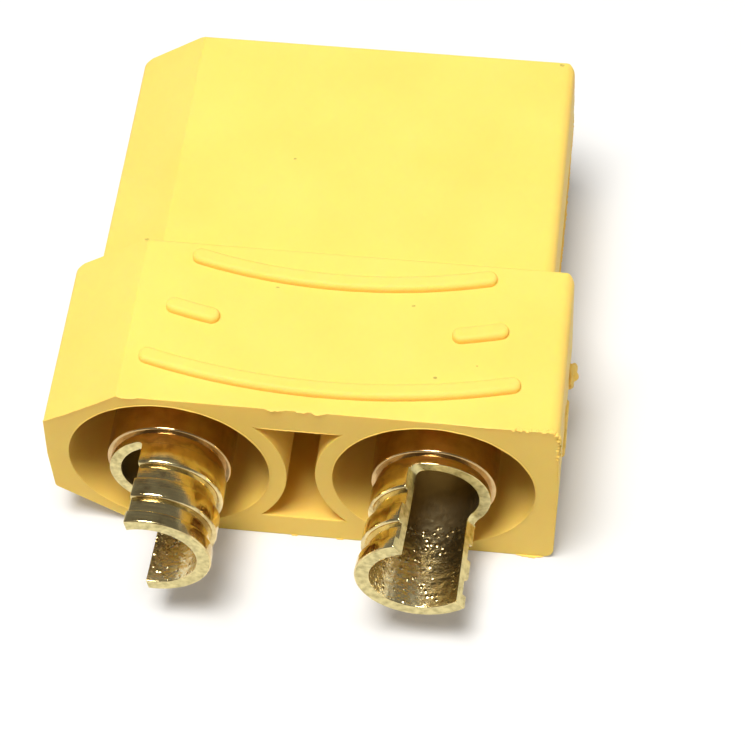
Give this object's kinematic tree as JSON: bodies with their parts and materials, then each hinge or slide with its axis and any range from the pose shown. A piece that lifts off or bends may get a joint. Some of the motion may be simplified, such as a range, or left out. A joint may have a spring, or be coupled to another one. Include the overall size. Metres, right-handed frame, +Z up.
{
  "type": "high-current battery connector",
  "caption": "Moulded rectangular power connector half with a bevelled polarity side, round sockets in a mating block and open solder cups behind a wider ribbed grip.",
  "frame": {"origin": "centre of the part's footprint, on the flat broad face that it rests on", "axes": "+Y along the contacts toward the mating end, +X across the poles from negative to positive, +Z up from the rest face"},
  "size_m": [0.021, 0.0248, 0.0095],
  "materials": {
    "yellow_moulding": "moulded nylon, slightly glossy",
    "gold_plate": "turned brass, bright gold plating"
  },
  "bodies": {
    "root": {"housing": "yellow_moulding", "positive_contact": "gold_plate", "negative_contact": "gold_plate"}
  },
  "joints": []
}
